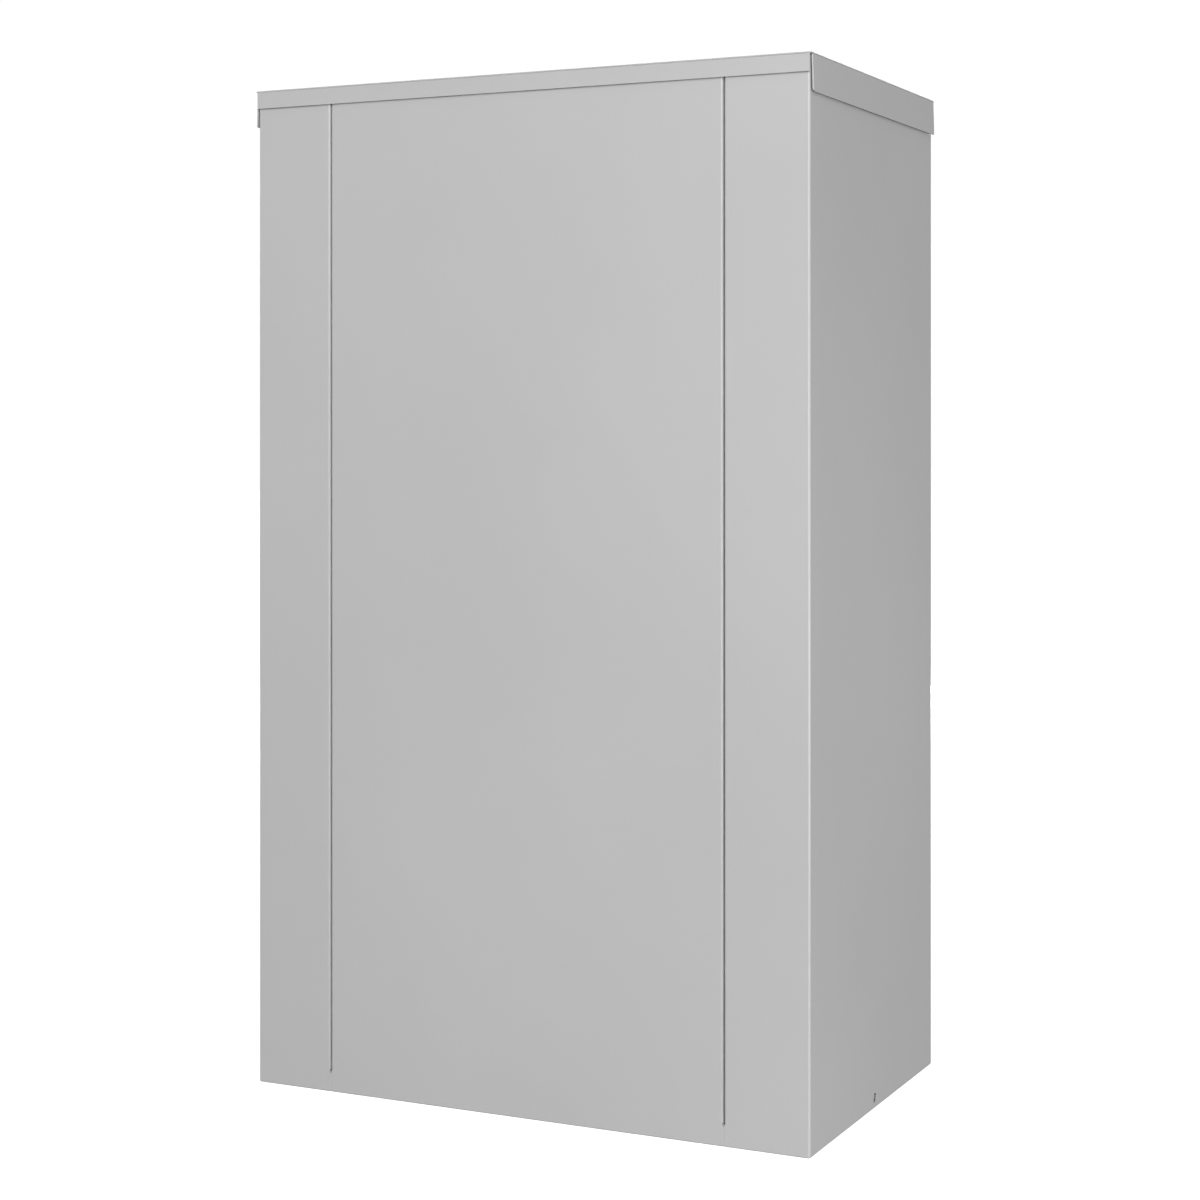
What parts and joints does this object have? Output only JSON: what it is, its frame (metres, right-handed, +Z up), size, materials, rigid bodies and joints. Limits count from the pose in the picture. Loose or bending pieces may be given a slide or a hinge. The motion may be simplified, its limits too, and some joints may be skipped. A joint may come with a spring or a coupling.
{
  "type": "industrial switchboard cabinet",
  "caption": "Floor-standing folded sheet-steel switchboard cabinet with a flared lid, an inset hinged door and a plate of switchgear inside.",
  "frame": {"origin": "centre of the base, on the surface that the cabinet stands on", "axes": "+Z up, +X to the right when facing the door, +Y from the door towards the rear"},
  "size_m": [0.602, 0.3608, 1],
  "materials": {
    "painted_steel": "fine-textured powder coat, light grey, satin",
    "galvanised_steel": "hot-dip galvanised sheet with faint spangle",
    "zinc_steel": "bright zinc plate",
    "foam_gasket": "closed-cell foam, matt black",
    "rubber": "moulded rubber, matt dark grey",
    "die_cast": "nickel-plated die casting",
    "case_plastic": "moulded thermoplastic, light grey",
    "handle_plastic": "moulded thermoplastic, black",
    "duct_plastic": "extruded PVC, grey",
    "pocket_plastic": "moulded polystyrene, light grey",
    "insulator": "glass-filled polyester, brown-red",
    "copper": "bare electrolytic copper, lightly oxidised",
    "brass": "bare brass",
    "terminal_plastic": "moulded polyamide, mid grey"
  },
  "bodies": {
    "cabinet": {"left_side_panel": "painted_steel", "right_side_panel": "painted_steel", "rear_stiles": "painted_steel", "front_stiles": "painted_steel", "rear_panel": "painted_steel", "bottom_seam_welds": "painted_steel", "bottom_front_rail": "painted_steel", "top_front_rail": "painted_steel", "floor_pan": "painted_steel", "lid": "painted_steel", "mounting_plate": "galvanised_steel", "din_rail_upper": "galvanised_steel", "din_rail_lower": "galvanised_steel", "gland_plate": "galvanised_steel", "seam_rivets": "zinc_steel", "gland_plate_screws": "zinc_steel", "lid_fasteners": "zinc_steel", "hinge_pins": "zinc_steel", "hinge_frame_screws": "zinc_steel", "plate_fasteners": "zinc_steel", "din_rail_screws": "zinc_steel", "busbar_bolts": "zinc_steel", "bar_screws": "zinc_steel", "gland_gasket": "foam_gasket", "cable_entry_plugs": "rubber", "hinge_frame_leaves": "die_cast", "main_breaker_case": "case_plastic", "main_breaker_cover": "case_plastic", "breaker_1": "case_plastic", "breaker_2": "case_plastic", "breaker_3": "case_plastic", "breaker_4": "case_plastic", "duct_left": "duct_plastic", "duct_right": "duct_plastic", "duct_covers": "duct_plastic", "busbar_supports": "insulator", "bar_insulators": "insulator", "busbar_1": "copper", "busbar_2": "copper", "busbar_3": "copper", "neutral_bar": "brass", "earth_bar": "brass", "terminal_blocks": "terminal_plastic"},
    "door": {"door_panel": "painted_steel", "door_stiffeners": "painted_steel", "door_gasket": "foam_gasket", "document_pocket": "pocket_plastic", "hinge_door_leaves": "die_cast", "hinge_door_screws": "zinc_steel", "lock_housings": "die_cast", "lock_nuts": "die_cast"},
    "lower_lock": {"lower_lock_barrel": "die_cast", "lower_lock_cam": "zinc_steel"},
    "upper_lock": {"upper_lock_barrel": "die_cast", "upper_lock_cam": "zinc_steel"},
    "main_toggle": {"main_breaker_toggle": "handle_plastic"},
    "toggle_1": {"breaker_1_toggle": "handle_plastic"},
    "toggle_2": {"breaker_2_toggle": "handle_plastic"},
    "toggle_3": {"breaker_3_toggle": "handle_plastic"},
    "toggle_4": {"breaker_4_toggle": "handle_plastic"}
  },
  "joints": [
    {"name": "door_hinge", "type": "hinge", "parent": "cabinet", "child": "door", "pos_m": [-0.26625, -0.1793, 0.5], "axis": [0, 0, -1], "range_deg": [0, 120]},
    {"name": "lower_lock_turn", "type": "hinge", "parent": "door", "child": "lower_lock", "pos_m": [0.225, -0.15, 0.25], "axis": [0, -1, 0], "range_deg": [0, 90]},
    {"name": "upper_lock_turn", "type": "hinge", "parent": "door", "child": "upper_lock", "pos_m": [0.225, -0.15, 0.75], "axis": [0, -1, 0], "range_deg": [0, 90]},
    {"name": "main_breaker_switch", "type": "hinge", "parent": "cabinet", "child": "main_toggle", "pos_m": [0, 0.092, 0.782], "axis": [-1, 0, 0], "range_deg": [0, 40]},
    {"name": "breaker_1_switch", "type": "hinge", "parent": "cabinet", "child": "toggle_1", "pos_m": [-0.081, 0.077, 0.4], "axis": [-1, 0, 0], "range_deg": [0, 50]},
    {"name": "breaker_2_switch", "type": "hinge", "parent": "cabinet", "child": "toggle_2", "pos_m": [-0.027, 0.077, 0.4], "axis": [-1, 0, 0], "range_deg": [0, 50]},
    {"name": "breaker_3_switch", "type": "hinge", "parent": "cabinet", "child": "toggle_3", "pos_m": [0.027, 0.077, 0.4], "axis": [-1, 0, 0], "range_deg": [0, 50]},
    {"name": "breaker_4_switch", "type": "hinge", "parent": "cabinet", "child": "toggle_4", "pos_m": [0.081, 0.077, 0.4], "axis": [-1, 0, 0], "range_deg": [0, 50]}
  ]
}
